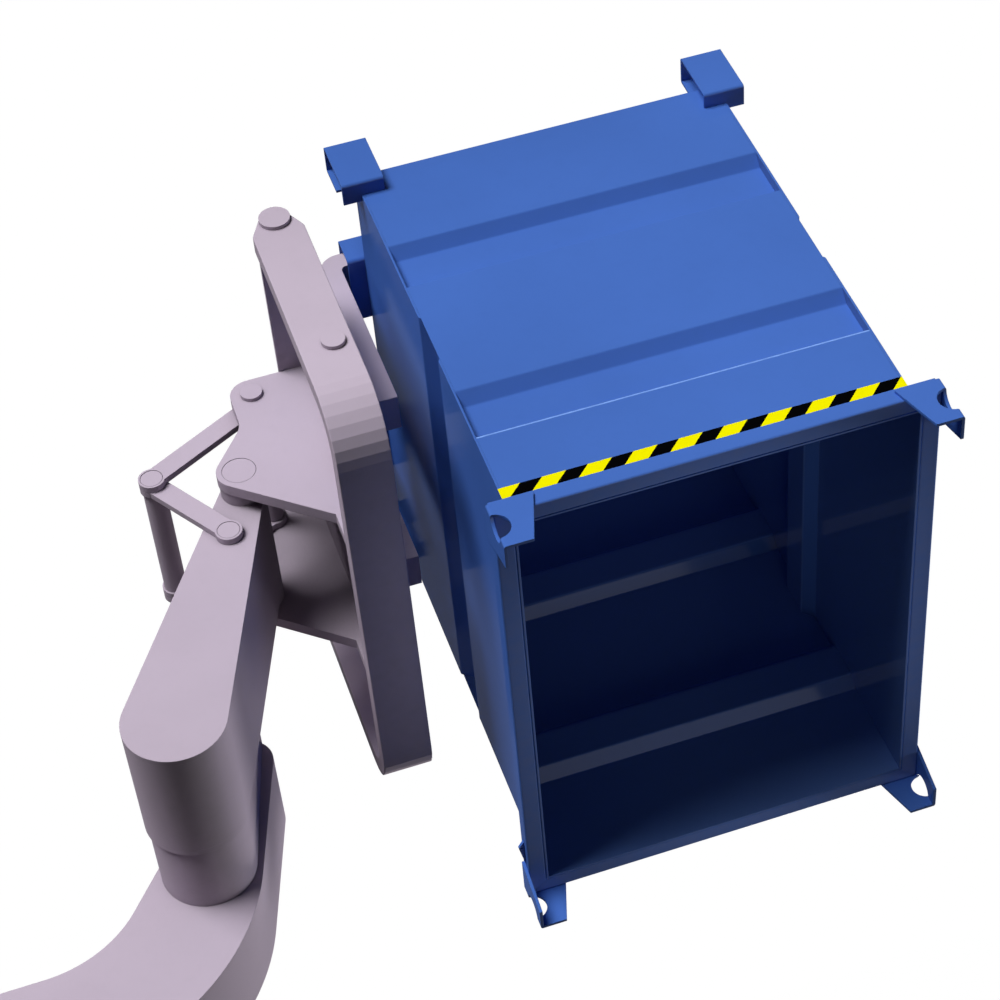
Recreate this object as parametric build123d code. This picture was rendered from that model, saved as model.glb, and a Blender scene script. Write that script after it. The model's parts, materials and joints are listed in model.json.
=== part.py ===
from build123d import *
import os
from math import acos, atan2, cos, hypot, radians, sin

# A tipping site bucket carried on two forks by a hinged fork carriage at the end of a
# two-piece lifting arm. Millimetres. X runs forward from the machine to the bucket, Y runs
# along every pin, Z is up. The layout below is measured from the middle of the underside
# of the bucket floor, and the finished nodes are moved so that the middle of the pivot
# bore at the machine end is the origin.

# Bucket body
SHEET = 4.0
BUCKET_LENGTH = 750.0
BUCKET_WIDTH = 1000.0
BUCKET_HEIGHT = 1000.0
GROOVE_DEPTH = 23.0
GROOVE_FLANK = 23.0
GROOVE_HEIGHT = 125.0
SIDE_GROOVE_LOW = 225.0
SIDE_GROOVE_HIGH = 650.0
END_GROOVE_LOW = 437.5
BEND = 6.0

# Rim tubes, corner lugs, feet, fork pockets and small fittings of the bucket
RIM = 35.0
RIM_WALL = 3.0
RIM_EDGE = 4.0
LUG_PLATE = 6.0
LUG_DROP = 24.0
LUG_RISE = 80.0
LUG_BASE_WIDTH = 86.0
LUG_TOP_WIDTH = 53.0
LUG_HOLE = 28.0
LUG_HOLE_RISE = 30.0
LUG_BEND = 5.0
FOOT_SHEET = 5.0
FOOT_DROP = 73.0
FOOT_RISE = 60.0
FOOT_REACH = 32.0
FOOT_DEPTH = 60.0
FOOT_START = 328.0
FOOT_END = 412.0
FOOT_LAP = 14.0
POCKET_SPACING = 430.0
POCKET_WIDTH = 160.0
POCKET_HEIGHT = 73.0
POCKET_WALL = 4.0
POCKET_LENGTH = 820.0
POCKET_CORNER = 8.0
TAPE_GAP = 6.0
TAPE_WIDTH = 50.0
TAPE_THICKNESS = 0.5
EYE_GAP = 5.0
EYE_LENGTH = 66.0
EYE_SET = 17.0
EYE_REACH = 5.5
EYE_RADIUS = 5.5
EYE_HOLE = 2.8
EYE_ROOT = 1.0
EYE_PLATE = 6.0

# Forks
FORK_SPACING = 444.0
FORK_WIDTH = 80.0
FORK_THICKNESS = 40.0
SHANK_FRONT = -420.0
SHANK_TOP = 376.0
BLADE_TIP = 370.0
TIP_THICKNESS = 14.0
TIP_TAPER = 300.0
HEEL = 42.0
FORK_CORNER = 12.0
POCKET_PLAY = 0.5
HANGER_WIDTH = 60.0
HANGER_EYE = 21.0
HANGER_FOOT = 85.0
REST_GAP = 0.5

# Fork carriage: bent ring, cross plate, back plate, ears and rods
RING_REAR = -605.5
RING_FRONT = -504.5
RING_HALF = 520.0
RING_TOP = 680.0
RING_BAR = 38.0
RING_BEND = 112.0
RING_STEPS = 8
RING_EDGE = 2.0
ARM_TAPER = 126.0
TIE_ROD = (-554.0, 92.0)
TIE_ROD_RADIUS = 17.0
TIE_HEAD = 30.2
TIE_HEAD_RAISE = 8.0
ARM_END = 30.5
CROSS_REAR = -602.0
CROSS_FRONT = -506.5
CROSS_TOP = 145.0
CROSS_PLATE = 12.0
FORK_SHAFT = (-541.0, 464.0)
FORK_SHAFT_RADIUS = 15.0
SHAFT_CAP = 22.4
SHAFT_CAP_RAISE = 8.5
BACK_PLATE = 6.0
EAR_EDGE = -566.0
EAR_STEP = 440.0
EAR_FOOT = (-545.0, 390.0)
EAR_INNER = 165.0
EAR_PLATE = 25.0
EAR_FRONT = (-602.0, 562.0)
EAR_WAIST = (-711.0, 268.0)
WAIST_FILLET = 60.0

# Pivots of the arm and of the tilt linkage, as X and Z
LINK_PIVOT = (-669.0, 187.0)
MAIN_PIVOT = (-743.0, 382.0)
JOINT_PIVOT = (-902.0, 314.0)
ROCKER_PIVOT = (-795.0, 487.0)
ELBOW_PIVOT = (-996.0, 888.0)
EAR_LINK_BOSS = 42.0
EAR_MAIN_BOSS = 44.0
MAIN_PIN = 33.0
LINK_PIN = 14.0
LINK_SHOULDER = 20.0
LINK_CAP = 21.5
LINK_CAP_RAISE = 8.0
JOINT_SHAFT = 22.0
ROCKER_PIN = 22.0
LINK_BAR = 14.0
LINK_EYE = 26.0
LINK_NECK = 21.0
OPEN_PLAY = 5.6
SPACER = 42.0
PIN_EDGE = 1.5

# Stick, its elbow boss and the boom
STICK_HALF = 135.0
STICK_NOSE = 42.0
STICK_HEAD = 96.5
STICK_CHEEK = 12.0
NOSE_BLOCK = 62.0
ROCKER_BLOCK = 46.0
BOSS = 91.0
BOSS_TIP = (-866.0, 629.0)
BOSS_TIP_RADIUS = 38.0
ELBOW_PIN = 45.0
BOOM_NEAR = -300.0
BOOM_FAR = -490.0
BOOM_CHEEK = 12.0
BOOM_BEND = (-1340.0, 787.0)
BOOM_OUTER = 461.0
BOOM_INNER = 241.0
BOOM_TIP = (-868.0, 668.0)
BOOM_TIP_RADIUS = 52.0
MACHINE_PIVOT = -1430.0
MACHINE_PIN = 40.0
BUSH_WALL = 8.0
BEARING_WALL = 20.0
KEEPER = 68.0
KEEPER_PLATE = 10.0
KEEPER_BOLT = 8.0
KEEPER_HEAD = 13.0
KEEPER_BOLT_HEAD = 6.5
KEEPER_BOLT_DEPTH = 25.0
KEEPER_CIRCLE = 29.0
KEEPER_BOLTS = 3

# Fits and small gaps
RUNNING = 0.05
SEAT = 0.02
SIDE_GAP = 0.5

# Sizes that follow from those above
HALF_LENGTH = BUCKET_LENGTH / 2
HALF_WIDTH = BUCKET_WIDTH / 2
RIM_X = HALF_LENGTH + RIM
RIM_Y = HALF_WIDTH + RIM
LUG_BASE = BUCKET_HEIGHT - LUG_DROP
LUG_TOP = BUCKET_HEIGHT + LUG_RISE
TAPE_LOW = BUCKET_HEIGHT - RIM - TAPE_GAP - TAPE_WIDTH
EYE_TAIL = -(RIM_Y + LUG_PLATE - LUG_BASE_WIDTH - EYE_GAP)
SHANK_REAR = SHANK_FRONT - FORK_THICKNESS
BLADE_LOW = -POCKET_HEIGHT + POCKET_WALL + POCKET_PLAY
RING_INNER = RING_HALF - RING_BAR
EAR_OUTER = EAR_INNER + EAR_PLATE
ROCKER_FACE = STICK_HALF + SIDE_GAP
COUPLER_FACE = ROCKER_FACE + LINK_BAR + SIDE_GAP
BOOM_MIDDLE = (BOOM_NEAR + BOOM_FAR) / 2
ROOT_RADIUS = (BOOM_OUTER - BOOM_INNER) / 2
ROOT_PIVOT = (MACHINE_PIVOT, BOOM_BEND[1] + BOOM_INNER + ROOT_RADIUS)
ORIGIN = (ROOT_PIVOT[0], BOOM_MIDDLE, ROOT_PIVOT[1])


def across(outline, low, high):
    """A solid from an outline drawn in X and Z, between two values of Y."""
    return Plane.XZ.offset(-high) * extrude(outline, high - low)


def along(outline, rear, front):
    """A solid from an outline drawn in Y and Z, between two values of X."""
    return Plane.YZ.offset(rear) * extrude(outline, front - rear)


def disc(centre, radius):
    return Pos(*centre) * Circle(radius)


def rod(centre, radius, low, high):
    return across(disc(centre, radius), low, high)


def bent_sheet(points, radius, thickness, side):
    """The closed outline of a sheet bent along a line of points."""
    line = FilletPolyline(*points, radius=radius)
    face = Face(line.offset_2d(thickness, side=side))
    if face.normal_at().Z < 0:
        face = -face
    return Sketch() + face


def hull(*shapes):
    edges = [edge for shape in shapes for edge in shape.edges()]
    return make_hull(edges)


def polar(centre, radius, angle):
    return (centre[0] + radius * cos(angle), centre[1] + radius * sin(angle))


def touch(point, centre, radius, turn):
    """Where the line from a point touches a circle, on the side that turn gives."""
    reach = hypot(centre[0] - point[0], centre[1] - point[1])
    heading = atan2(point[1] - centre[1], point[0] - centre[0])
    return polar(centre, radius, heading + turn * acos(radius / reach))


def mirrored(shape, plane):
    return mirror(shape, about=plane)


def grooved_line(face, lows):
    """The outer face of a bucket wall from the floor up, pressed in at each sloping groove."""
    points = [(face, 0)]
    for low in lows:
        high = low + GROOVE_HEIGHT
        points += [(face, low), (face - GROOVE_DEPTH, low + GROOVE_FLANK)]
        points += [(face - GROOVE_DEPTH, high - GROOVE_FLANK), (face, high)]
    return points + [(face, BUCKET_HEIGHT)]


def side_wall():
    """Left wall, between the end walls, with two pressed grooves along its length."""
    points = grooved_line(HALF_WIDTH, (SIDE_GROOVE_LOW, SIDE_GROOVE_HIGH))
    section = bent_sheet(points, BEND, SHEET, Side.LEFT)
    return along(section, -HALF_LENGTH + SHEET, HALF_LENGTH - SHEET)


def end_wall():
    """Front wall: its flats cover the side walls' edges, its groove stops inside them."""
    points = grooved_line(HALF_LENGTH, (END_GROOVE_LOW,))
    section = bent_sheet(points, BEND, SHEET, Side.LEFT)
    wall = across(section, -HALF_WIDTH, HALF_WIDTH)
    groove_height = GROOVE_HEIGHT + 2 * BEND
    groove_depth = GROOVE_DEPTH + SHEET
    for side in (-1, 1):
        end = Box(groove_depth, SHEET, groove_height)
        middle = END_GROOVE_LOW + GROOVE_HEIGHT / 2
        wall -= Pos(HALF_LENGTH - SHEET - groove_depth / 2, side * (HALF_WIDTH - SHEET / 2), middle) * end
    return wall


def floor_plate():
    plate = Box(BUCKET_LENGTH - 2 * SHEET, BUCKET_WIDTH - 2 * SHEET, SHEET)
    return Pos(0, 0, SHEET / 2) * plate


def rim_tube(length):
    """A square tube along X with its inner long face on the X axis, mitred at both ends."""
    section = RectangleRounded(RIM, RIM, RIM_EDGE) - Rectangle(RIM - 2 * RIM_WALL, RIM - 2 * RIM_WALL)
    half = length / 2
    tube = along(Pos(RIM / 2, BUCKET_HEIGHT - RIM / 2) * section, -half - RIM, half + RIM)
    mitre = Polygon((-half, 0), (half, 0), (half + RIM, RIM), (-half - RIM, RIM), align=None)
    return tube & extrude(mitre, BUCKET_HEIGHT)


def side_rim():
    return Pos(0, HALF_WIDTH, 0) * rim_tube(BUCKET_LENGTH)


def end_rim():
    return Pos(HALF_LENGTH, 0, 0) * Rot(0, 0, -90) * rim_tube(BUCKET_WIDTH)


def lug_leg(face):
    """One leg of a corner lug: tapered away from the bend, with half of the lifting hole."""
    outline = Polygon(
        (face, LUG_TOP),
        (face - LUG_TOP_WIDTH, LUG_TOP),
        (face - LUG_BASE_WIDTH, LUG_BASE),
        (face, LUG_BASE),
        align=None,
    )
    return outline - disc((face, BUCKET_HEIGHT + LUG_HOLE_RISE), LUG_HOLE)


def corner_lug():
    """A bent lifting plate round the front left corner of the rim."""
    outer_x = RIM_X + LUG_PLATE
    outer_y = RIM_Y + LUG_PLATE
    lug = across(lug_leg(outer_x), RIM_Y, outer_y) + along(lug_leg(outer_y), RIM_X, outer_x)
    corner = [e for e in lug.edges().filter_by(Axis.Z) if e.center().X > RIM_X and e.center().Y > RIM_Y]
    corner = [e for e in corner if hypot(e.center().X - outer_x, e.center().Y - outer_y) < SEAT]
    return fillet(corner, LUG_BEND)


def corner_foot():
    """A stacking foot folded from sheet, open to the front and rear."""
    outer = HALF_WIDTH + FOOT_REACH
    points = (
        (HALF_WIDTH - FOOT_LAP, FOOT_RISE),
        (outer, FOOT_RISE),
        (outer, -FOOT_DROP),
        (outer - FOOT_DEPTH, -FOOT_DROP),
        (outer - FOOT_DEPTH, 0),
    )
    foot = along(bent_sheet(points, BEND, FOOT_SHEET, Side.RIGHT), FOOT_START, FOOT_END)
    body = Pos(0, 0, BUCKET_HEIGHT / 2) * Box(BUCKET_LENGTH, BUCKET_WIDTH, BUCKET_HEIGHT)
    return foot - body


def fork_pocket():
    inside = RectangleRounded(
        POCKET_WIDTH - 2 * POCKET_WALL,
        POCKET_HEIGHT - 2 * POCKET_WALL,
        POCKET_CORNER - POCKET_WALL,
    )
    section = RectangleRounded(POCKET_WIDTH, POCKET_HEIGHT, POCKET_CORNER) - inside
    place = Pos(POCKET_SPACING / 2, -POCKET_HEIGHT / 2)
    return along(place * section, -POCKET_LENGTH / 2, POCKET_LENGTH / 2)


def hazard_tape():
    tape = Box(BUCKET_LENGTH, TAPE_THICKNESS, TAPE_WIDTH)
    return Pos(0, HALF_WIDTH + TAPE_THICKNESS / 2, TAPE_LOW + TAPE_WIDTH / 2) * tape


def chain_eye():
    """A small flat eye standing out of the rear rim tube on a long tapered root."""
    head = EYE_TAIL + EYE_LENGTH
    centre = (-RIM_X - EYE_REACH, head - EYE_SET)
    root = Pos(-RIM_X - EYE_ROOT / 2, (EYE_TAIL + head) / 2) * Rectangle(EYE_ROOT, EYE_LENGTH)
    outline = hull(disc(centre, EYE_RADIUS), root) - disc(centre, EYE_HOLE)
    return Pos(0, 0, BUCKET_HEIGHT - (RIM + EYE_PLATE) / 2) * extrude(outline, EYE_PLATE)


def fork(middle):
    """An L-shaped fork: shank behind the bucket, tapered blade in the pocket."""
    blade_top = BLADE_LOW + FORK_THICKNESS
    outline = Polygon(
        (SHANK_REAR, SHANK_TOP),
        (SHANK_REAR, BLADE_LOW),
        (BLADE_TIP, BLADE_LOW),
        (BLADE_TIP, BLADE_LOW + TIP_THICKNESS),
        (BLADE_TIP - TIP_TAPER, blade_top),
        (SHANK_FRONT, blade_top),
        (SHANK_FRONT, SHANK_TOP),
        align=None,
    )
    heel = outline.vertices().sort_by_distance((SHANK_REAR, BLADE_LOW))[0]
    outline = fillet(heel, HEEL)
    corner = outline.vertices().sort_by_distance((SHANK_FRONT, blade_top))[0]
    outline = fillet(corner, FORK_CORNER)
    return across(outline, middle - FORK_WIDTH / 2, middle + FORK_WIDTH / 2)


def fork_hanger(middle):
    """The back bar of a fork: hangs on the fork shaft and rests against the cross plate."""
    rest = CROSS_FRONT + REST_GAP
    bar = Polygon(
        (rest, HANGER_FOOT),
        (SHANK_REAR, HANGER_FOOT),
        (SHANK_REAR, SHANK_TOP),
        (rest, SHANK_TOP),
        align=None,
    )
    depth = SHANK_REAR - rest
    top = Pos(rest + depth / 2, SHANK_TOP - HANGER_EYE) * Rectangle(depth, 2 * HANGER_EYE)
    outline = bar + hull(disc(FORK_SHAFT, HANGER_EYE), top)
    outline -= disc(FORK_SHAFT, FORK_SHAFT_RADIUS + RUNNING)
    return across(outline, middle - HANGER_WIDTH / 2, middle + HANGER_WIDTH / 2)


def ring_loop(half, top, bend):
    """An arch in Y and Z, open at the bottom, whose shoulders are bent in flat steps."""
    low = TIE_ROD[1] - ARM_END
    step = radians(90 / RING_STEPS)
    shoulder = [polar((half - bend, top - bend), bend, step * turn) for turn in range(RING_STEPS + 1)]
    other = [(-y, z) for y, z in reversed(shoulder)]
    return Polygon((-half, low), (half, low), *shoulder, *other, align=None)


def carriage_ring():
    """A flat bar bent into an arch whose arm ends narrow round the tie rod."""
    inside = ring_loop(RING_INNER, RING_TOP - RING_BAR, RING_BEND - RING_BAR)
    arch = along(ring_loop(RING_HALF, RING_TOP, RING_BEND) - inside, RING_REAR, RING_FRONT)
    faces = arch.edges().group_by(Axis.X)
    arch = fillet(faces[0] + faces[-1], RING_EDGE)
    width = RING_FRONT - RING_REAR
    arm = Pos(RING_REAR + width / 2, (RING_TOP + ARM_TAPER) / 2) * Rectangle(width, RING_TOP - ARM_TAPER)
    arch &= across(hull(arm, disc(TIE_ROD, ARM_END)), -RING_HALF, RING_HALF)
    arch -= rod(TIE_ROD, TIE_ROD_RADIUS + SEAT, -RING_HALF, RING_HALF)
    arch -= rod(FORK_SHAFT, FORK_SHAFT_RADIUS + SEAT, -RING_HALF, RING_HALF)
    return arch


def cross_plate():
    """The flat bar between the arms, just above the tie rod."""
    width = CROSS_FRONT - CROSS_REAR
    section = Pos(CROSS_REAR + width / 2, CROSS_TOP - CROSS_PLATE / 2) * Rectangle(width, CROSS_PLATE)
    return across(section, -RING_INNER, RING_INNER)


def back_plate():
    """The plate between the ears, from the cross plate to the top of the arch."""
    height = RING_TOP - RING_BAR - CROSS_TOP
    outline = Pos(0, CROSS_TOP + height / 2) * Rectangle(2 * EAR_INNER, height)
    return along(outline, EAR_EDGE - BACK_PLATE, EAR_EDGE)


def headed_rod(centre, radius, head, face, rise):
    """A through rod with a flat round head on each outer face."""
    return (
        rod(centre, radius, -face, face)
        + rod(centre, head, face, face + rise)
        + rod(centre, head, -face - rise, -face)
    )


def edged_pin(centre, radius, reach):
    """A plain pin with a small chamfer round each end."""
    pin = rod(centre, radius, -reach, reach)
    return chamfer(pin.edges().filter_by(GeomType.CIRCLE), PIN_EDGE)


def ear_outline():
    """A lug plate with rounded ends at the main and link pivots and a waist between."""
    top = RING_TOP - RING_BAR
    front = touch(EAR_FRONT, MAIN_PIVOT, EAR_MAIN_BOSS, 1)
    back = touch(EAR_WAIST, MAIN_PIVOT, EAR_MAIN_BOSS, -1)
    link_low = (LINK_PIVOT[0], CROSS_TOP)
    link_rear = (LINK_PIVOT[0] - EAR_LINK_BOSS, LINK_PIVOT[1])
    edge = Polygon(
        (EAR_EDGE, top),
        (EAR_FRONT[0], top),
        EAR_FRONT,
        front,
        back,
        EAR_WAIST,
        link_rear,
        link_low,
        (EAR_FOOT[0], CROSS_TOP),
        EAR_FOOT,
        (EAR_EDGE, EAR_STEP),
        align=None,
    )
    waist = edge.vertices().sort_by_distance(EAR_WAIST)[0]
    edge = fillet(waist, WAIST_FILLET)
    outline = edge + disc(LINK_PIVOT, EAR_LINK_BOSS) + disc(MAIN_PIVOT, EAR_MAIN_BOSS)
    outline -= disc(MAIN_PIVOT, MAIN_PIN + SEAT)
    return outline - disc(LINK_PIVOT, LINK_PIN + SEAT)


def ear():
    return across(ear_outline(), EAR_INNER, EAR_OUTER)


def main_spacer():
    ring = disc(MAIN_PIVOT, SPACER) - disc(MAIN_PIVOT, MAIN_PIN + SEAT)
    return across(ring, STICK_HALF + SIDE_GAP, EAR_INNER)


def link_pin():
    """The headed pin through the ears, thicker between the two coupler links."""
    shoulder = COUPLER_FACE - SIDE_GAP
    pin = headed_rod(LINK_PIVOT, LINK_PIN, LINK_CAP, EAR_OUTER, LINK_CAP_RAISE)
    return pin + rod(LINK_PIVOT, LINK_SHOULDER, -shoulder, shoulder)


def link_bar(start, finish, start_hole, finish_hole):
    """A flat link with a round eye at each end and a narrower straight neck."""
    neck = hull(disc(start, LINK_NECK), disc(finish, LINK_NECK))
    outline = neck + disc(start, LINK_EYE) + disc(finish, LINK_EYE)
    return outline - disc(start, start_hole) - disc(finish, finish_hole)


def coupler_link():
    """Outer link, from the ear's link pin to the joint shaft."""
    outline = link_bar(LINK_PIVOT, JOINT_PIVOT, LINK_PIN + OPEN_PLAY, JOINT_SHAFT + RUNNING)
    return across(outline, COUPLER_FACE, COUPLER_FACE + LINK_BAR)


def rocker_link():
    """Inner link, from the stick's rocker pin to the joint shaft."""
    outline = link_bar(ROCKER_PIVOT, JOINT_PIVOT, ROCKER_PIN + SEAT, JOINT_SHAFT + SEAT)
    return across(outline, ROCKER_FACE, ROCKER_FACE + LINK_BAR)


def stick_outline():
    return hull(disc(MAIN_PIVOT, STICK_NOSE), disc(ELBOW_PIVOT, STICK_HEAD))


def stick_holes():
    return disc(MAIN_PIVOT, MAIN_PIN + RUNNING) + disc(ROCKER_PIVOT, ROCKER_PIN + RUNNING)


def stick_cheek():
    outline = stick_outline() - stick_holes()
    return across(outline, STICK_HALF - STICK_CHEEK, STICK_HALF)


def stick_box():
    """The band between the stick's cheeks, hollow apart from its two pivot blocks."""
    hollow = offset(stick_outline(), -STICK_CHEEK)
    hollow -= disc(MAIN_PIVOT, NOSE_BLOCK)
    hollow -= disc(ROCKER_PIVOT, ROCKER_BLOCK)
    inner = STICK_HALF - STICK_CHEEK
    return across(stick_outline() - hollow - stick_holes(), -inner, inner)


def elbow_boss():
    """The thick tapered block between the stick and the boom that carries the elbow pin."""
    outline = hull(disc(ELBOW_PIVOT, BOSS), disc(BOSS_TIP, BOSS_TIP_RADIUS))
    outline -= disc(ELBOW_PIVOT, ELBOW_PIN + SEAT)
    return across(outline, BOOM_NEAR + SIDE_GAP, -STICK_HALF)


def boom_outline(inset):
    """A gooseneck: two arcs about one centre, run out straight to a small round tip."""
    outer_radius = BOOM_OUTER - inset
    inner_radius = BOOM_INNER + inset
    tip_radius = BOOM_TIP_RADIUS - inset
    reach = hypot(BOOM_TIP[0] - BOOM_BEND[0], BOOM_TIP[1] - BOOM_BEND[1])
    heading = atan2(BOOM_TIP[1] - BOOM_BEND[1], BOOM_TIP[0] - BOOM_BEND[0])
    outer = heading + acos((outer_radius - tip_radius) / reach)
    inner = heading + acos((inner_radius + tip_radius) / reach)
    upright = radians(90)
    half_turn = radians(180)
    outer_end = polar(BOOM_BEND, outer_radius, upright)
    inner_end = polar(BOOM_BEND, inner_radius, upright)
    root_top = (MACHINE_PIVOT, outer_end[1])
    root_low = (MACHINE_PIVOT, inner_end[1])
    root_end = polar(ROOT_PIVOT, ROOT_RADIUS - inset, half_turn)
    tip_outer = polar(BOOM_TIP, tip_radius, outer)
    tip_inner = polar(BOOM_TIP, tip_radius, inner + half_turn)
    tip_end = polar(BOOM_TIP, tip_radius, (outer + inner - half_turn) / 2)
    outer_start = polar(BOOM_BEND, outer_radius, outer)
    outer_middle = polar(BOOM_BEND, outer_radius, (outer + upright) / 2)
    inner_start = polar(BOOM_BEND, inner_radius, inner)
    inner_middle = polar(BOOM_BEND, inner_radius, (inner + upright) / 2)
    edges = [
        Line(tip_outer, outer_start),
        ThreePointArc(outer_start, outer_middle, outer_end),
        Line(outer_end, root_top),
        ThreePointArc(root_top, root_end, root_low),
        Line(root_low, inner_end),
        ThreePointArc(inner_end, inner_middle, inner_start),
        Line(inner_start, tip_inner),
        ThreePointArc(tip_inner, tip_end, tip_outer),
    ]
    return make_face(edges)


def boom_holes():
    elbow = disc(ELBOW_PIVOT, ELBOW_PIN + BUSH_WALL + SEAT)
    return elbow + disc(ROOT_PIVOT, MACHINE_PIN + BUSH_WALL + SEAT)


def boom_cheek(low, high):
    return across(boom_outline(0) - boom_holes(), low, high)


def boom_box():
    """The band between the boom's cheeks."""
    band = boom_outline(0) - boom_outline(BOOM_CHEEK)
    return across(band, BOOM_FAR + BOOM_CHEEK, BOOM_NEAR - BOOM_CHEEK)


def bearing_tube(centre, pin):
    """A thick tube welded between the boom's cheeks round a bush."""
    inner = pin + BUSH_WALL + SEAT
    ring = disc(centre, inner + BEARING_WALL) - disc(centre, inner)
    return across(ring, BOOM_FAR + BOOM_CHEEK, BOOM_NEAR - BOOM_CHEEK)


def bush(centre, pin):
    ring = disc(centre, pin + BUSH_WALL) - disc(centre, pin + RUNNING)
    return across(ring, BOOM_FAR, BOOM_NEAR)


def elbow_pin():
    """The pin from the stick's boss through the boom, tapped for the keeper's bolts."""
    pin = rod(ELBOW_PIVOT, ELBOW_PIN, BOOM_FAR - SIDE_GAP, -STICK_HALF)
    for place in keeper_places():
        pin -= rod(place, KEEPER_BOLT, BOOM_FAR - SIDE_GAP, BOOM_FAR + KEEPER_BOLT_DEPTH)
    return pin


def keeper_places():
    step = radians(360 / KEEPER_BOLTS)
    return [polar(ELBOW_PIVOT, KEEPER_CIRCLE, radians(90) + step * turn) for turn in range(KEEPER_BOLTS)]


def elbow_keeper():
    """A round plate on the end of the elbow pin."""
    face = BOOM_FAR - SIDE_GAP
    plate = rod(ELBOW_PIVOT, KEEPER, face - KEEPER_PLATE, face)
    for place in keeper_places():
        plate -= rod(place, KEEPER_BOLT, face - KEEPER_PLATE, face)
    return plate


def keeper_bolts():
    face = BOOM_FAR - SIDE_GAP - KEEPER_PLATE
    bolts = []
    for place in keeper_places():
        head = Pos(*place) * RegularPolygon(KEEPER_HEAD, 6)
        bolt = across(head, face - KEEPER_BOLT_HEAD, face)
        bolts.append(bolt + rod(place, KEEPER_BOLT - SEAT, face, BOOM_FAR + KEEPER_BOLT_DEPTH))
    return Compound(children=bolts)


def bucket_nodes():
    nodes = {
        "bucket_left_wall": side_wall(),
        "bucket_right_wall": mirrored(side_wall(), Plane.XZ),
        "bucket_front_wall": end_wall(),
        "bucket_rear_wall": mirrored(end_wall(), Plane.YZ),
        "bucket_floor": floor_plate(),
        "rim_tube_left": side_rim(),
        "rim_tube_right": mirrored(side_rim(), Plane.XZ),
        "rim_tube_front": end_rim(),
        "rim_tube_rear": mirrored(end_rim(), Plane.YZ),
        "fork_pocket_left": fork_pocket(),
        "fork_pocket_right": mirrored(fork_pocket(), Plane.XZ),
        "hazard_tape": hazard_tape(),
        "chain_eye": chain_eye(),
    }
    for name, piece in (("lifting_lug", corner_lug()), ("stacking_foot", corner_foot())):
        rear = mirrored(piece, Plane.YZ)
        nodes[name + "_front_left"] = piece
        nodes[name + "_rear_left"] = rear
        nodes[name + "_front_right"] = mirrored(piece, Plane.XZ)
        nodes[name + "_rear_right"] = mirrored(rear, Plane.XZ)
    return nodes


def carriage_nodes():
    fork_place = FORK_SPACING / 2
    return {
        "carriage_ring": carriage_ring(),
        "carriage_cross_plate": cross_plate(),
        "carriage_back_plate": back_plate(),
        "carriage_tie_rod": headed_rod(TIE_ROD, TIE_ROD_RADIUS, TIE_HEAD, RING_HALF, TIE_HEAD_RAISE),
        "fork_shaft": headed_rod(FORK_SHAFT, FORK_SHAFT_RADIUS, SHAFT_CAP, RING_HALF, SHAFT_CAP_RAISE),
        "ear_left": ear(),
        "ear_right": mirrored(ear(), Plane.XZ),
        "main_pin": edged_pin(MAIN_PIVOT, MAIN_PIN, EAR_OUTER),
        "main_spacer_left": main_spacer(),
        "main_spacer_right": mirrored(main_spacer(), Plane.XZ),
        "link_pin": link_pin(),
        "fork_left": fork(fork_place),
        "fork_right": fork(-fork_place),
        "fork_hanger_left": fork_hanger(fork_place),
        "fork_hanger_right": fork_hanger(-fork_place),
    }


def linkage_nodes():
    return {
        "coupler_link_left": coupler_link(),
        "coupler_link_right": mirrored(coupler_link(), Plane.XZ),
        "rocker_link_left": rocker_link(),
        "rocker_link_right": mirrored(rocker_link(), Plane.XZ),
        "joint_shaft": edged_pin(JOINT_PIVOT, JOINT_SHAFT, COUPLER_FACE + LINK_BAR),
        "rocker_pin": edged_pin(ROCKER_PIVOT, ROCKER_PIN, ROCKER_FACE + LINK_BAR),
    }


def arm_nodes():
    return {
        "stick_box": stick_box(),
        "stick_cheek_left": stick_cheek(),
        "stick_cheek_right": mirrored(stick_cheek(), Plane.XZ),
        "elbow_boss": elbow_boss(),
        "elbow_pin": elbow_pin(),
        "elbow_keeper": elbow_keeper(),
        "elbow_keeper_bolts": keeper_bolts(),
        "boom_box": boom_box(),
        "boom_cheek_left": boom_cheek(BOOM_NEAR - BOOM_CHEEK, BOOM_NEAR),
        "boom_cheek_right": boom_cheek(BOOM_FAR, BOOM_FAR + BOOM_CHEEK),
        "elbow_bearing_tube": bearing_tube(ELBOW_PIVOT, ELBOW_PIN),
        "machine_bearing_tube": bearing_tube(ROOT_PIVOT, MACHINE_PIN),
        "elbow_bush": bush(ELBOW_PIVOT, ELBOW_PIN),
        "machine_bush": bush(ROOT_PIVOT, MACHINE_PIN),
    }


def main():
    os.makedirs("parts", exist_ok=True)
    nodes = bucket_nodes() | carriage_nodes() | linkage_nodes() | arm_nodes()
    to_origin = Pos(-ORIGIN[0], -ORIGIN[1], -ORIGIN[2])
    for name, shape in nodes.items():
        export_step(to_origin * shape, f"parts/{name}.step")


main()
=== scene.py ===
import json

import bpy
from mathutils import Matrix, Vector

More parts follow.
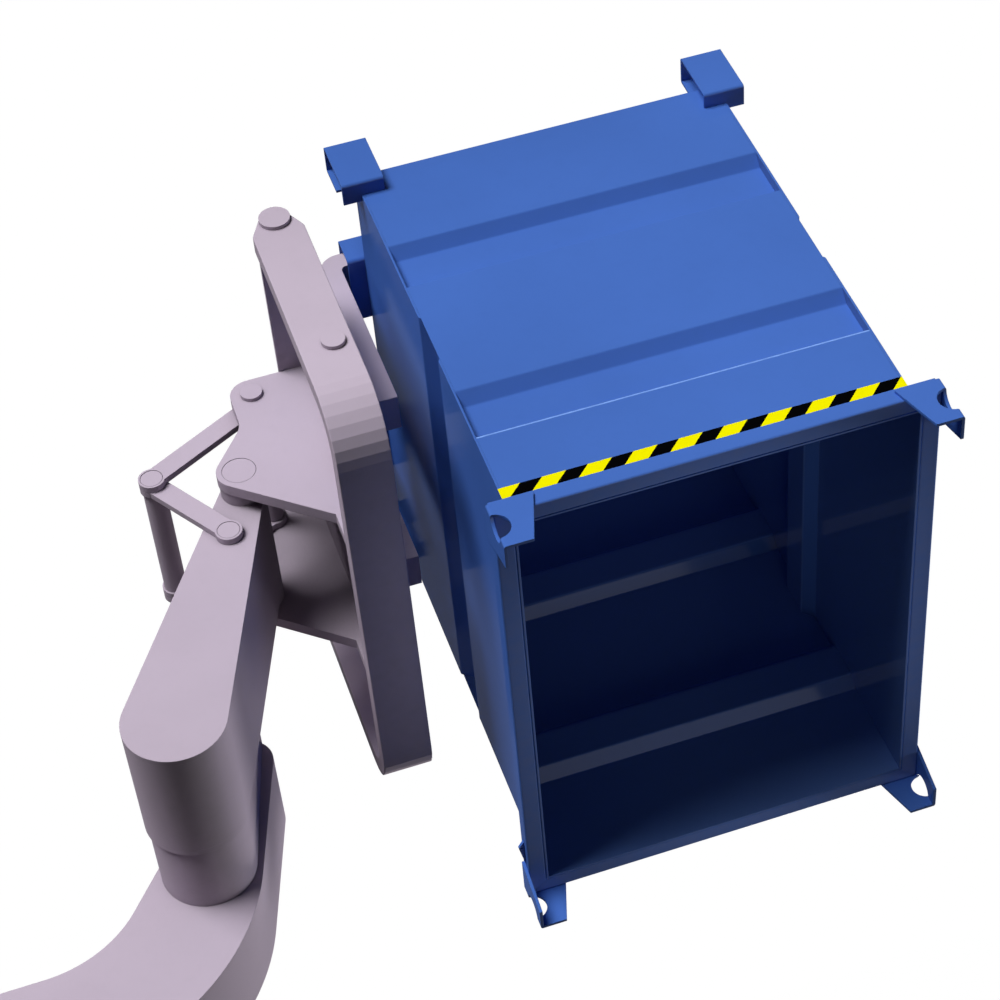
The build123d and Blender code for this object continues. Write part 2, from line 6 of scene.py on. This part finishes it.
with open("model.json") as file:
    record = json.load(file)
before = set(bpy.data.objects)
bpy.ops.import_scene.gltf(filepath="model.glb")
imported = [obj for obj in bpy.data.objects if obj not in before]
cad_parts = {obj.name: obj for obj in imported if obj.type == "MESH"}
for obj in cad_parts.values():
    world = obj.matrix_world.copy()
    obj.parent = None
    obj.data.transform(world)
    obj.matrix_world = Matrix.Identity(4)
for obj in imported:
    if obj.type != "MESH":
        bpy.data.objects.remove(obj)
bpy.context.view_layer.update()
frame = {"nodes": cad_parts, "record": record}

# Camera fitted to the photograph, which is rolled on its side
SENSOR = 36.0
FOCAL_PIXELS = 2691.6
PICTURE = 1000.0
PRINCIPAL = (575.54, 497.88)
CAMERA_PLACE = (0.27891, 4.16674, 2.90586)
CAMERA_RIGHT = (0.94413, -0.04778, 0.32609)
CAMERA_UP = (0.26540, 0.69686, -0.66629)
CAMERA_BACK = (-0.19541, 0.71561, 0.67061)
CAMERA_REACH = 200.0

# Floor, well below the lowest pose of the bucket
FLOOR_LEVEL = -2.75
FLOOR_SIZE = 10.0
FLOOR_TONE = (0.85, 0.85, 0.85)
FLOOR_GLOW = 1.05
FLOOR_SHARE = 0.95

# Lights, each as the direction it comes from, its strength, its spread in radians and its colour
WHITE = (1.0, 1.0, 1.0)
WARM = (1.0, 0.97, 0.9)
LIGHTS = {
    "key": ((-0.36, 0.93, -0.14), 3.06, 0.5, WHITE),
    "fill_right": ((0.35, -0.93, -0.15), 2.2, 0.3, WARM),
    "fill_front": ((0.965, -0.144, 0.2), 1.02, 0.36, WHITE),
}
LIGHT_DISTANCE = 6.0
AMBIENT = 0.014

# Soft box over the mouth of the bucket
BOX_PLACE = (1.45, 0.395, 1.05)
BOX_SIZE = (0.5, 0.9)
BOX_POWER = 0.8
BOX_SPREAD = 0.8

# Colours, linear
BLUE = (0.066, 0.166, 0.561)
BLUE_WORN_AND_LIT = (0.12, 0.25, 0.64)
GREY = (0.59, 0.5, 0.61)
GREY_WORN_AND_LIT = (0.7, 0.62, 0.71)
YELLOW = (1.0, 0.93, 0.0)
BLACK = (0.0018, 0.0018, 0.0022)
BRONZE = (0.55, 0.36, 0.14)
DUST_AND_SHADE = (0.3, 0.28, 0.26)
GRIME_AND_SHADE = (0.09, 0.12, 0.14)
LEDGE_SHADE = (0.02, 0.057, 0.22)
CORNER_SHADE = (0.07, 0.07, 0.07)
FOLD_HIGHLIGHT = (0.26, 0.46, 1.0)

# Paints, each as roughness, weight of the clear coat and strength of the rubbing along edges, whose lighter
# colour is also a painted highlight
BUCKET_PAINT = (0.3, 0.06, 0.35)
REAR_PAINT = (0.3, 0.07, 0.35)
ARM_PAINT = (0.5, 0.02, 0.3)
FORK_PAINT = (0.5, 0.02, 0.4)
PIN_PAINT = (0.42, 0.03, 0.4)
PAINT_SPECULAR = 0.0

# Roughness of the clear coat, and its weight on the inner faces of the walls
POLISH = 0.12
FRONT_POLISH = 0.05
INNER_GLOSS = 0.5
FRONT_GLOSS = 0.8

# Noise patterns, each as scale, detail and roughness, and the part of a noise that is used
DRIFT = (2.2, 3.0, 0.5)
MOTTLE = (38.0, 4.0, 0.6)
PEEL = (420.0, 2.0, 0.5)
MIDDLE = (0.3, 0.7)
NONE_TO_ALL = (0.0, 1.0)
ALL_TO_NONE = (1.0, 0.0)

# Sprayed paint: slow drift of the tone, darker mottle, uneven roughness and orange peel
DRIFT_TONES = (0.94, 1.06)
MOTTLE_SPOTS = (0.5, 0.8)
MOTTLE_DEPTH = 0.08
MOTTLE_TONE = 0.7
GRAIN_SPAN = (0.85, 1.15)
PEEL_BUMP = (0.12, 0.0006)

# Edges: radius of the softening, how far the softened face leans where paint is rubbed and lightened as a
# painted highlight, and its patches
EDGE = 0.002
PIN_EDGE = 0.001
EDGE_SAMPLES = 4
RUB_AND_HIGHLIGHT_LEAN = (0.97, 0.8)
RUB_AND_HIGHLIGHT_SPOTS = (0.45, 0.6)
RUB_AND_HIGHLIGHT_SPAN = (0.25, 1.0)

# How far a face must look up to hold dust, which also darkens the tops as painted shade, the most that it
# covers, and its patches
DUST_AND_SHADE_SLOPE = (0.8, 0.95)
DUST_AND_SHADE_DEPTH = 0.2
DUST_AND_SHADE_SPAN = (0.8, 1.2)

# Upright line through the middle of the bucket: wall faces turned towards it carry grime that also serves
# as painted shade, painted shade on their ledges, and more gloss
BUCKET_MIDDLE = (1.43, 0.395, 0.0)
LEVEL_ONLY = (1.0, 1.0, 0.0)
INWARD = (-0.2, -0.1)
GRIME_AND_SHADE_DEPTH = 0.4
GRIME_AND_SHADE_SPAN = (0.9, 1.1)
LEDGE_SLOPE = (0.4, 0.65)
LEDGE_DEPTH = 0.8

# Painted shade in corners: reach of a sheltering neighbour, how much sky is left, and the most that the
# shade covers
CORNER_REACH = 0.25
CORNER_SAMPLES = 6
CORNER_SKY = (0.2, 0.85)
CORNER_DEPTH = 0.6

# Height of the fold of the left wall that carries a painted highlight, and where the highlighted line fades
# beside it
FOLD_LEVEL = -0.3622
FOLD_FADE = (0.0012, 0.00312)
FOLD_SPOTS = (0.35, 0.6)
FOLD_SPAN = (0.6, 1.0)

# Striped tape: the stripes lean at 45 degrees, measured along X plus Z
STRIPE_PITCH = 0.0835
STRIPE_START = 0.8665
STRIPE_DARK = 0.475
TAPE_DIRT = (60.0, 4.0, 0.6)
TAPE_DIRT_SPOTS = (0.5, 0.75)
TAPE_DIRT_DEPTH = 0.12
TAPE_DIRT_TONE = 0.6
TAPE_GRAIN = (30.0, 3.0, 0.5)
TAPE_ROUGHNESS = (0.32, 0.45)
TAPE_PEEL = (300.0, 2.0, 0.5)
TAPE_BUMP = (0.08, 0.0004)

# Bronze: stains and the rings that turning leaves
STAIN = (25.0, 4.0, 0.6)
STAIN_SPOTS = (0.4, 0.7)
STAIN_TONE = 0.6
BRONZE_ROUGHNESS = (0.25, 0.45)
RING_SCALE = 260.0
RING_WANDER = 1.5
RING_BUMP = (0.1, 0.0003)


class Nodes:
    """A short way to build a node tree."""

    def __init__(self, tree):
        self.tree = tree
        tree.nodes.clear()

    def add(self, kind, inputs=None, **settings):
        node = self.tree.nodes.new(kind)
        for key, value in settings.items():
            setattr(node, key, value)
        for key, value in (inputs or {}).items():
            if isinstance(value, bpy.types.NodeSocket):
                self.tree.links.new(value, node.inputs[key])
            else:
                node.inputs[key].default_value = value
        return node

    def math(self, operation, *values):
        return self.add("ShaderNodeMath", dict(enumerate(values)), operation=operation).outputs[0]

    def vector(self, operation, first, second):
        node = self.add("ShaderNodeVectorMath", {0: first, 1: second}, operation=operation)
        return node.outputs["Value" if operation == "DOT_PRODUCT" else "Vector"]

    def split(self, vector):
        return self.add("ShaderNodeSeparateXYZ", {"Vector": vector}).outputs

    def noise(self, place, pattern):
        scale, detail, rough = pattern
        inputs = {"Vector": place, "Scale": scale, "Detail": detail, "Roughness": rough}
        return self.add("ShaderNodeTexNoise", inputs).outputs["Fac"]

    def ramp(self, value, source, target):
        ends = {"From Min": source[0], "From Max": source[1], "To Min": target[0], "To Max": target[1]}
        return self.add("ShaderNodeMapRange", {"Value": value, **ends}, clamp=True).outputs[0]

    def blend(self, factor, first, second):
        """Mix two colours: sockets 6 and 7 of the node are the colours, output 2 the result."""
        return self.add("ShaderNodeMix", {0: factor, 6: first, 7: second}, data_type="RGBA").outputs[2]

    def bump(self, height, size, **normal):
        strength, distance = size
        inputs = {"Height": height, "Strength": strength, "Distance": distance, **normal}
        return self.add("ShaderNodeBump", inputs).outputs[0]

    def surface(self, inputs):
        shader = self.add("ShaderNodeBsdfPrincipled", inputs)
        self.add("ShaderNodeOutputMaterial", {"Surface": shader.outputs[0]})


def rgba(colour, factor=1.0):
    return tuple(min(1.0, part * factor) for part in colour) + (1.0,)


def new_material(name):
    material = bpy.data.materials.new(name)
    material.use_nodes = True
    return material, Nodes(material.node_tree)


def fold_highlight(nodes, place, mottle):
    """How strongly a painted highlight lies along one long fold of a wall."""
    away = nodes.math("ABSOLUTE", nodes.math("SUBTRACT", nodes.split(place)["Z"], FOLD_LEVEL))
    line = nodes.ramp(away, FOLD_FADE, ALL_TO_NONE)
    return nodes.math("MULTIPLY", line, nodes.ramp(mottle, FOLD_SPOTS, FOLD_SPAN))


def inner_faces(nodes, space):
    """One on the faces of a wall that look towards the middle of the bucket."""
    out = nodes.vector("SUBTRACT", space["Object"], BUCKET_MIDDLE)
    level = nodes.vector("MULTIPLY", out, LEVEL_ONLY)
    facing = nodes.vector("DOT_PRODUCT", level, space["Normal"])
    return nodes.ramp(facing, INWARD, ALL_TO_NONE)


def painted(
    name, colour, worn_and_lit, paint, edge=EDGE, polish=POLISH, fold=False, inner_gloss=None, sheltered=False
):
    """Sprayed paint: slow tone drift, fine orange peel, dusty tops that also carry painted shade, softened
    and rubbed edges lightened as a painted highlight, and where asked painted shade in corners and on inner
    faces and a painted highlight along a fold.
    """
    roughness, coat, rub_and_highlight_strength = paint
    material, nodes = new_material(name)
    space = nodes.add("ShaderNodeTexCoord").outputs
    place = space["Object"]
    drift = nodes.noise(place, DRIFT)
    mottle = nodes.noise(place, MOTTLE)
    peel = nodes.noise(place, PEEL)
    deep, pale = (rgba(colour, factor) for factor in DRIFT_TONES)
    tone = nodes.blend(nodes.ramp(drift, MIDDLE, NONE_TO_ALL), deep, pale)
    spots = nodes.ramp(mottle, MOTTLE_SPOTS, (0.0, MOTTLE_DEPTH))
    tone = nodes.blend(spots, tone, rgba(colour, MOTTLE_TONE))

    upward = nodes.split(space["Normal"])["Z"]
    # Up-facing faces take dust, which also serves as painted shade on the tops
    dust_and_shade = nodes.ramp(upward, DUST_AND_SHADE_SLOPE, (0.0, DUST_AND_SHADE_DEPTH))
    dust_and_shade = nodes.math("MULTIPLY", dust_and_shade, nodes.ramp(mottle, MIDDLE, DUST_AND_SHADE_SPAN))
    tone = nodes.blend(dust_and_shade, tone, rgba(DUST_AND_SHADE))
    # Painted shade: faces that neighbours shelter are darkened towards a dark grey
    if sheltered:
        corner = nodes.add("ShaderNodeAmbientOcclusion", {"Distance": CORNER_REACH}, samples=CORNER_SAMPLES)
        cover = nodes.ramp(corner.outputs["AO"], CORNER_SKY, (CORNER_DEPTH, 0.0))
        tone = nodes.blend(cover, tone, rgba(CORNER_SHADE))
    gloss = coat
    if inner_gloss is not None:
        inner = inner_faces(nodes, space)
        gloss = nodes.ramp(inner, NONE_TO_ALL, (coat, inner_gloss))
        # Grime on the inner faces, which also darkens them as painted shade
        grime_and_shade = nodes.math("MULTIPLY", nodes.ramp(drift, MIDDLE, GRIME_AND_SHADE_SPAN), GRIME_AND_SHADE_DEPTH)
        tone = nodes.blend(nodes.math("MULTIPLY", inner, grime_and_shade), tone, rgba(GRIME_AND_SHADE))
        # Painted shade: up-facing ledges of the inner faces are darkened towards a deep blue
        ledge = nodes.ramp(upward, LEDGE_SLOPE, (0.0, LEDGE_DEPTH))
        tone = nodes.blend(nodes.math("MULTIPLY", inner, ledge), tone, rgba(LEDGE_SHADE))

    soft = nodes.add("ShaderNodeBevel", {"Radius": edge}, samples=EDGE_SAMPLES).outputs[0]
    sharp = nodes.add("ShaderNodeNewGeometry").outputs["Normal"]
    # Edges are lightened: rubbed paint together with a painted highlight
    rub_and_highlight = nodes.ramp(nodes.vector("DOT_PRODUCT", soft, sharp), RUB_AND_HIGHLIGHT_LEAN, NONE_TO_ALL)
    rub_and_highlight = nodes.math("MULTIPLY", rub_and_highlight, nodes.ramp(mottle, RUB_AND_HIGHLIGHT_SPOTS, RUB_AND_HIGHLIGHT_SPAN))
    tone = nodes.blend(nodes.math("MULTIPLY", rub_and_highlight, rub_and_highlight_strength), tone, rgba(worn_and_lit))
    # Painted highlight: a lighter line along one fold of the left wall
    if fold:
        tone = nodes.blend(fold_highlight(nodes, place, mottle), tone, rgba(FOLD_HIGHLIGHT))
    nodes.surface(
        {
            "Base Color": tone,
            "Roughness": nodes.ramp(mottle, MIDDLE, [roughness * factor for factor in GRAIN_SPAN]),
            "Normal": nodes.bump(peel, PEEL_BUMP, Normal=soft),
            "Specular IOR Level": PAINT_SPECULAR,
            "Coat Weight": gloss,
            "Coat Roughness": polish,
        }
    )
    return material


def striped(name):
    """Yellow and black tape with leaning stripes and a little dirt."""
    material, nodes = new_material(name)
    place = nodes.add("ShaderNodeTexCoord").outputs["Object"]
    part = nodes.split(place)
    slant = nodes.math("SUBTRACT", nodes.math("ADD", part["X"], part["Z"]), STRIPE_START)
    phase = nodes.math("FRACT", nodes.math("DIVIDE", slant, STRIPE_PITCH))
    dark = nodes.math("LESS_THAN", phase, STRIPE_DARK)
    dirt = nodes.ramp(nodes.noise(place, TAPE_DIRT), TAPE_DIRT_SPOTS, (0.0, TAPE_DIRT_DEPTH))
    yellow = nodes.blend(dirt, rgba(YELLOW), rgba(YELLOW, TAPE_DIRT_TONE))
    nodes.surface(
        {
            "Base Color": nodes.blend(dark, yellow, rgba(BLACK)),
            "Roughness": nodes.ramp(nodes.noise(place, TAPE_GRAIN), MIDDLE, TAPE_ROUGHNESS),
            "Normal": nodes.bump(nodes.noise(place, TAPE_PEEL), TAPE_BUMP),
            "Specular IOR Level": PAINT_SPECULAR,
        }
    )
    return material


def bronze(name):
    """Turned bearing bronze with fine rings left by the tool."""
    material, nodes = new_material(name)
    place = nodes.add("ShaderNodeTexCoord").outputs["Object"]
    stain = nodes.noise(place, STAIN)
    spots = nodes.ramp(stain, STAIN_SPOTS, NONE_TO_ALL)
    inputs = {"Vector": place, "Scale": RING_SCALE, "Distortion": RING_WANDER}
    rings = nodes.add("ShaderNodeTexWave", inputs, bands_direction="Y").outputs["Fac"]
    nodes.surface(
        {
            "Base Color": nodes.blend(spots, rgba(BRONZE), rgba(BRONZE, STAIN_TONE)),
            "Roughness": nodes.ramp(stain, MIDDLE, BRONZE_ROUGHNESS),
            "Normal": nodes.bump(rings, RING_BUMP),
            "Metallic": 1.0,
        }
    )
    return material


def seen_rays(nodes):
    """One where the camera, a reflection or clear material looks at a surface."""
    path = nodes.add("ShaderNodeLightPath").outputs
    seen = nodes.math("MAXIMUM", path["Is Camera Ray"], path["Is Glossy Ray"])
    return nodes.math("MAXIMUM", seen, path["Is Transmission Ray"])


def pale_floor():
    bpy.ops.mesh.primitive_plane_add(size=FLOOR_SIZE, location=(0, 0, FLOOR_LEVEL))
    floor = bpy.context.object
    floor.name = "floor"
    material, nodes = new_material("floor_white")
    matt = nodes.add("ShaderNodeBsdfDiffuse", {"Color": rgba(FLOOR_TONE)})
    glow = nodes.add("ShaderNodeEmission", {"Color": rgba(WHITE), "Strength": FLOOR_GLOW})
    share = nodes.math("MULTIPLY", seen_rays(nodes), FLOOR_SHARE)
    mix = nodes.add("ShaderNodeMixShader", {0: share, 1: matt.outputs[0], 2: glow.outputs[0]})
    nodes.add("ShaderNodeOutputMaterial", {"Surface": mix.outputs[0]})
    floor.data.materials.append(material)


def pale_world():
    world = bpy.data.worlds.new("studio")
    bpy.context.scene.world = world
    world.use_nodes = True
    nodes = Nodes(world.node_tree)
    strength = nodes.ramp(seen_rays(nodes), NONE_TO_ALL, (AMBIENT, 1.0))
    sky = nodes.add("ShaderNodeBackground", {"Color": rgba(WHITE), "Strength": strength})
    nodes.add("ShaderNodeOutputWorld", {"Surface": sky.outputs[0]})


def studio_lights():
    for name, (source, strength, spread, colour) in LIGHTS.items():
        lamp = bpy.data.lights.new(name, "SUN")
        lamp.energy = strength
        lamp.angle = spread
        lamp.color = colour
        light = bpy.data.objects.new(name, lamp)
        light.rotation_euler = Vector(source).to_track_quat("Z", "Y").to_euler()
        light.location = Vector(source) * LIGHT_DISTANCE
        bpy.context.collection.objects.link(light)


def soft_box():
    lamp = bpy.data.lights.new("soft_box", "AREA")
    lamp.shape = "RECTANGLE"
    lamp.size, lamp.size_y = BOX_SIZE
    lamp.energy = BOX_POWER
    lamp.spread = BOX_SPREAD
    light = bpy.data.objects.new("soft_box", lamp)
    light.location = BOX_PLACE
    bpy.context.collection.objects.link(light)


def photo_camera():
    lens = bpy.data.cameras.new("photo_camera")
    lens.sensor_fit = "HORIZONTAL"
    lens.sensor_width = SENSOR
    lens.lens = FOCAL_PIXELS / PICTURE * SENSOR
    lens.shift_x = (PICTURE / 2 - PRINCIPAL[0]) / PICTURE
    lens.shift_y = (PRINCIPAL[1] - PICTURE / 2) / PICTURE
    lens.clip_end = CAMERA_REACH
    camera = bpy.data.objects.new("photo_camera", lens)
    turn = Matrix((CAMERA_RIGHT, CAMERA_UP, CAMERA_BACK)).transposed()
    camera.matrix_world = Matrix.Translation(CAMERA_PLACE) @ turn.to_4x4()
    bpy.context.collection.objects.link(camera)
    bpy.context.scene.camera = camera


def dress(materials, walls):
    """Give each solid the material of its slot in the record, and each wall of the bucket its own."""
    for part in frame["record"]["subparts"]:
        mesh = frame["nodes"][part["node"]].data
        mesh.materials.clear()
        mesh.materials.append(walls.get(part["node"], materials[part["material_slot"]]))


def wall(name, paint=BUCKET_PAINT, inner_gloss=INNER_GLOSS, **options):
    return painted(name, BLUE, BLUE_WORN_AND_LIT, paint, inner_gloss=inner_gloss, **options)


materials = {
    "bucket_paint": painted("bucket_blue", BLUE, BLUE_WORN_AND_LIT, BUCKET_PAINT),
    "arm_paint": painted("arm_grey", GREY, GREY_WORN_AND_LIT, ARM_PAINT, sheltered=True),
    "carriage_paint": painted("carriage_grey", GREY, GREY_WORN_AND_LIT, ARM_PAINT, sheltered=True),
    "link_paint": painted("link_grey", GREY, GREY_WORN_AND_LIT, ARM_PAINT, sheltered=True),
    "fork_paint": painted("fork_grey", GREY, GREY_WORN_AND_LIT, FORK_PAINT),
    "pin_steel": painted("pin_grey", GREY, GREY_WORN_AND_LIT, PIN_PAINT, edge=PIN_EDGE, sheltered=True),
    "hazard_tape": striped("striped_tape"),
    "bush_metal": bronze("bush_bronze"),
}
walls = {
    "bucket_left_wall": wall("wall_folded", fold=True),
    "bucket_right_wall": wall("wall_glossy"),
    "bucket_front_wall": wall("wall_polished", inner_gloss=FRONT_GLOSS, polish=FRONT_POLISH),
    "bucket_rear_wall": wall("wall_rear", REAR_PAINT),
}
dress(materials, walls)
pale_floor()
pale_world()
studio_lights()
soft_box()
photo_camera()
bpy.context.scene.view_settings.view_transform = "Standard"
